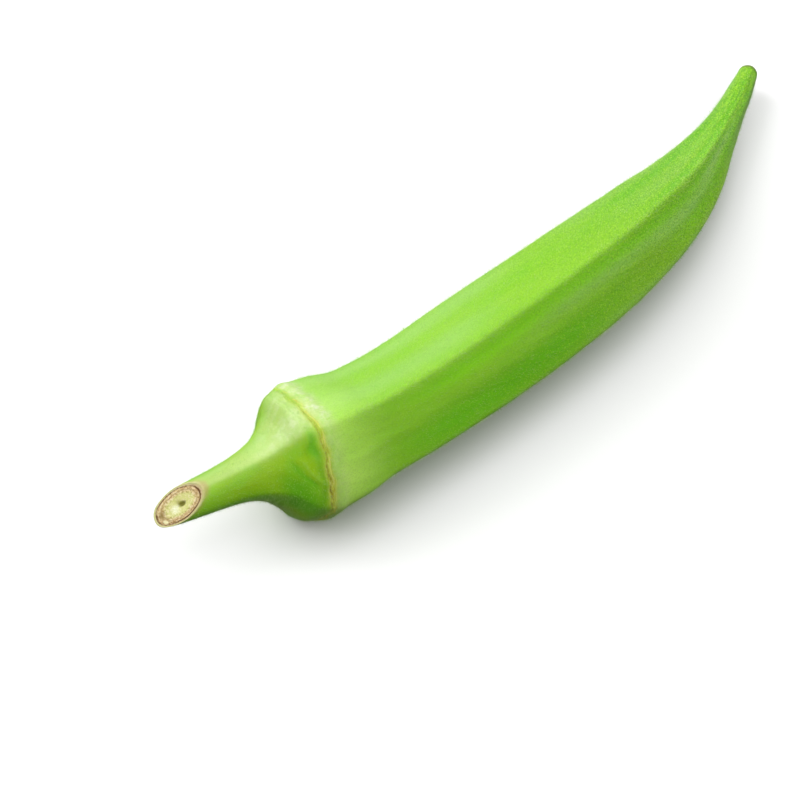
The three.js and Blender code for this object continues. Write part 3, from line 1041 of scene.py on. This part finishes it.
class OKRA_OT_scar(bpy.types.Operator):
    """Make the scar's dried edge: a ragged strand round the groove, with loose slivers"""

    bl_idname = "okra.scar"
    bl_label = "Ring scar"

    AROUND = 700
    SECTION = 8
    STRAND_BEHIND = 0.30
    SLIVERS = 420
    # How deep both are sunk in the skin.
    SUNK = 0.02

    def execute(self, context):
        finish = scar_finish(context.scene.pod_colours)
        self.strand(finish)
        self.slivers(finish)
        return {"FINISHED"}

    @staticmethod
    def on_scar(angle, behind):
        """The place along the pod that lies a distance behind the scar at an angle."""
        place = np.full_like(angle, SCAR_PLACE)
        for _ in range(4):
            place = place + behind - behind_scar(place, angle)
        return place

    def strand(self, finish):
        """A small oval profile carried round the scar; its width and height swell and die away."""
        angle = column_angles(self.AROUND)[:, None]
        turn = column_angles(self.SECTION)[None, :]
        thin = 0.4 + 0.6 * patch(angle, -40, 62)
        swell = (0.55 + 0.45 * waves(0, angle, 31, 10, 24, 2, 1)) * thin
        width = 0.05 * thin + 0.05 * np.clip(swell, 0, 1.4)
        height = 0.06 * np.clip(swell, -0.3, 1.3)
        sway = 0.05 * waves(0, angle, 32, 10, 50, 2, 1)
        behind = self.STRAND_BEHIND + sway + width * np.cos(turn)
        place = self.on_scar(angle + 0 * turn, behind)
        points = skin_points(place, angle + 0 * turn, lift=height * np.sin(turn) - self.SUNK)
        here = np.arange(self.AROUND)[:, None] * self.SECTION
        there = (np.arange(self.AROUND)[:, None] + 1) % self.AROUND * self.SECTION
        step = np.arange(self.SECTION)[None, :]
        beside = (step + 1) % self.SECTION
        quads = np.stack([here + step, here + beside, there + beside, there + step], -1).reshape(-1, 4)
        new_piece("scar_strand", laid_down(points.reshape(-1, 3)), [quads], finish)

    def slivers(self, finish):
        """Flat three-sided slivers lying along and across the scar."""
        rng = np.random.default_rng(33)
        angle = rng.uniform(0, 2 * np.pi, self.SLIVERS)
        behind = rng.normal(0.25, 0.28, self.SLIVERS)
        root = self.on_scar(angle, behind)
        aim = rng.normal(0, 0.8, self.SLIVERS)
        length = rng.uniform(0.10, 0.38, self.SLIVERS)
        reach = smooth_through(REACHES, root)
        end_place = root + length * np.sin(aim)
        end_angle = angle + length * np.cos(aim) * rng.choice([-1, 1], self.SLIVERS) / reach
        half = rng.uniform(0.012, 0.03, self.SLIVERS)
        start_a = skin_points(root, angle, lift=-self.SUNK)
        start_b = skin_points(root + half, angle + half / reach, lift=-self.SUNK)
        start_c = skin_points(root + half / 2, angle, lift=0.03)
        end = skin_points(end_place, end_angle, lift=0.01 + 0.06 * rng.uniform(0, 1, self.SLIVERS))
        points = np.stack([start_a, start_b, start_c, end], 1).reshape(-1, 3)
        faces = [spike_faces(self.SLIVERS)]
        new_piece("scar_slivers", laid_down(points), faces, finish, smooth=False)


def hair_spikes(place, angle, length, width, lean, rng):
    """Points of thin three-sided spikes rooted in the skin. Each points along the skin's normal,
    which is the cross product of its two slopes, leaning towards the tip and a little to a random
    side."""
    step = 0.15
    length = np.minimum(length, LONGEST_HAIR)
    reach = smooth_through(REACHES, np.minimum(place, TIP_START))
    root = skin_points(place, angle)
    down = skin_points(place + step, angle) - skin_points(place - step, angle)
    round_it = skin_points(place, angle + step / reach) - skin_points(place, angle - step / reach)
    down = unit(down)
    normal = unit(np.cross(down, round_it))
    across = np.cross(normal, down)
    drift = rng.normal(0, HAIR_DRIFT, (len(place), 2))
    aim = unit(normal + down * (lean + drift[:, :1]) + across * drift[:, 1:])
    spin = rng.uniform(0, 2 * np.pi, len(place))[:, None]
    corners = []
    for k in range(3):
        turn = spin + k * 2 * np.pi / 3
        edge = down * np.cos(turn) + across * np.sin(turn)
        corners.append(root + edge * width / 2 - normal * ROOT_DEPTH)
    points = np.stack([*corners, root + aim * length[:, None]], 1)
    shifted = points + pod_shift()
    above = (shifted[:, :, 2] > HAIR_CLEARANCE).all(1)
    return shifted[above].reshape(-1, 3) * MM


def scattered_places(rng, count, start, end):
    """Random places along the pod, as many to each square millimetre of skin everywhere."""
    along = np.linspace(start, end, 400)
    share = np.cumsum(smooth_through(REACHES, along))
    return np.interp(rng.uniform(share[0], share[-1], count), share, along)


class OKRA_OT_hairs(bpy.types.Operator):
    """Make the hairs: down on the faces, stiffer hairs on the ridges, and hairs on the stalk"""

    bl_idname = "okra.hairs"
    bl_label = "Hairs"

    # Seed, from and to along the pod, share of the set length, its log middle and log spread, share
    # of the set width, and lean.
    KINDS = {
        "down": (41, SCAR_PLACE + 2.5, TIP_START, 1.0, -0.1, 0.35, 1.0, 0.55),
        "ridge": (42, SCAR_PLACE + 4, TIP_START - 2, 1.25, -0.05, 0.3, 1.15, 0.35),
        "stalk": (43, 0.6, SCAR_PLACE + 1.5, 0.8, -0.1, 0.35, 1.0, 0.3),
    }

    def execute(self, context):
        settings = context.scene.pod_hairs
        finish = hair_finish(context.scene.pod_colours)
        for kind, (seed, start, end, longer, middle, spread, wider, lean) in self.KINDS.items():
            count = getattr(settings, f"{kind}_count")
            rng = np.random.default_rng(seed)
            place = scattered_places(rng, count, start, end)
            angle = self.angles(kind, place, rng)
            length = settings.length / MM * longer * rng.lognormal(middle, spread, count)
            points = hair_spikes(place, angle, length, settings.width / MM * wider, lean, rng)
            faces = [spike_faces(len(points) // 4)]
            new_piece(f"{kind}_hairs", points, faces, finish, smooth=False)
        return {"FINISHED"}

    @staticmethod
    def angles(kind, place, rng):
        """Ridge hairs gather on the five ridges, and the others stand all round."""
        if kind == "ridge":
            ridge = rng.integers(0, SIDES, len(place)) * FIFTH
            return ridge + rng.normal(0, 0.35, len(place)) / smooth_through(REACHES, place)
        return rng.uniform(0, 2 * np.pi, len(place))


# ---- Stage ----
class OKRA_OT_stage(bpy.types.Operator):
    """Make the floor, the three lamps, the room and the camera"""

    bl_idname = "okra.stage"
    bl_label = "Stage"

    # Metres to the camera's right, away from it and up.
    LAMPS = {
        "soft_lamp": (0.10, -0.42, 1.0),
        "window": (-0.62, 0.40, 0.68),
        "side_lamp": (-1.0, -0.10, 0.40),
    }
    # The way to the brightest sky, in the same three, and where along it the sky begins and is full.
    BRIGHTEST_SKY = (0.0, 0.3, 0.95)
    SKY_EDGE = (-0.15, 0.35)
    # How far below the pod's flats the floor lies.
    FLOOR_DROP = 0.02 * MM

    def execute(self, context):
        settings = context.scene.okra_stage
        self.floor(settings)
        for name, place in self.LAMPS.items():
            power = getattr(settings, f"{name}_power")
            size = getattr(settings, f"{name}_size")
            self.lamp(name, power, size, self.beside(*place))
        self.room(context.scene, settings)
        self.camera(context.scene)
        context.scene.view_settings.view_transform = "Standard"
        return {"FINISHED"}

    @staticmethod
    def beside(right, away, up):
        """A place beside the pod as the camera sees it: metres to its right, away from it and up."""
        cosine, sine = np.cos(VIEW_AZIMUTH), np.sin(VIEW_AZIMUTH)
        return Vector((right * cosine - away * sine, right * sine + away * cosine, up))

    def floor(self, settings):
        """A flat white floor. It is seen and takes shadows, and its return light is the room's."""
        half = settings.floor_size / 2
        mesh = bpy.data.meshes.new("floor")
        corners = [(-half, -half, 0), (half, -half, 0), (half, half, 0), (-half, half, 0)]
        mesh.from_pydata(corners, [], [(0, 1, 2, 3)])
        floor = bpy.data.objects.new("floor", mesh)
        bpy.context.scene.collection.objects.link(floor)
        floor.location.z = -self.FLOOR_DROP
        floor.visible_diffuse = False
        floor.visible_glossy = False
        floor.visible_shadow = False
        finish = Finish(bpy.data.materials.new("white floor"))
        mesh.materials.append(finish.shade({
            "Base Color": (0.95, 0.95, 0.95), "Roughness": 0.9, "Specular IOR Level": 0.0}))

    @staticmethod
    def lamp(name, power, size, place):
        data = bpy.data.lights.new(name, "AREA")
        data.shape = "DISK"
        data.size = size
        data.energy = power
        lamp = bpy.data.objects.new(name, data)
        lamp.location = place
        lamp.rotation_euler = (-place).to_track_quat("-Z", "Y").to_euler()
        bpy.context.scene.collection.objects.link(lamp)

    def room(self, scene, settings):
        """White surroundings: one strength above the pod and behind it and another below it."""
        f = Finish(bpy.data.worlds.new("white studio"), last="Background")
        direction = f.node("ShaderNodeTexCoord", {}, {}, output="Generated")
        brightest = self.beside(*self.BRIGHTEST_SKY)
        height = f.node(
            "ShaderNodeVectorMath", {"operation": "DOT_PRODUCT"}, {0: direction, 1: brightest},
            output="Value")
        low, high = self.SKY_EDGE
        strength = f.node("ShaderNodeMapRange", {}, {
            "Value": height, "From Min": low, "From Max": high,
            "To Min": settings.below, "To Max": settings.sky})
        scene.world = f.shade({"Color": (1, 1, 1), "Strength": strength})

    @staticmethod
    def camera(scene):
        data = bpy.data.cameras.new("camera")
        data.lens = VIEW_LENS
        data.sensor_width = 36.0
        camera = bpy.data.objects.new("camera", data)
        level = np.cos(VIEW_ELEVATION)
        back = OKRA_OT_stage.beside(0, -level, np.sin(VIEW_ELEVATION))
        camera.location = Vector(VIEW_AIM) + back * VIEW_DISTANCE
        camera.rotation_euler = (-back).to_track_quat("-Z", "Y").to_euler()
        scene.collection.objects.link(camera)
        scene.camera = camera


class OKRA_PT_panel(bpy.types.Panel):
    """Buttons and settings for the okra pod"""

    bl_idname = "OKRA_PT_panel"
    bl_label = "Okra Pod"
    bl_space_type = "VIEW_3D"
    bl_region_type = "UI"
    bl_category = "Okra Pod"

    def draw(self, context):
        for operator in OPERATORS:
            self.layout.operator(operator.bl_idname)
        for settings in SETTINGS:
            group = getattr(context.scene, settings)
            for key in group.bl_rna.properties.keys():
                if key not in {"rna_type", "name"}:
                    self.layout.prop(group, key)


SETTINGS = {
    "pod_relief": PodRelief,
    "pod_colours": PodColours,
    "pod_hairs": PodHairs,
    "okra_stage": StageSettings,
}
OPERATORS = (OKRA_OT_skin, OKRA_OT_cut_face, OKRA_OT_scar, OKRA_OT_hairs, OKRA_OT_stage)


def register():
    for made in (*SETTINGS.values(), *OPERATORS, OKRA_PT_panel):
        bpy.utils.register_class(made)
    for name, group in SETTINGS.items():
        setattr(bpy.types.Scene, name, PointerProperty(type=group))


def unregister():
    for name in SETTINGS:
        delattr(bpy.types.Scene, name)
    for made in reversed((*SETTINGS.values(), *OPERATORS, OKRA_PT_panel)):
        bpy.utils.unregister_class(made)


def main():
    register()
    bpy.ops.okra.skin()
    bpy.ops.okra.cut_face()
    bpy.ops.okra.scar()
    bpy.ops.okra.hairs()
    bpy.ops.okra.stage()


if __name__ == "__main__":
    main()
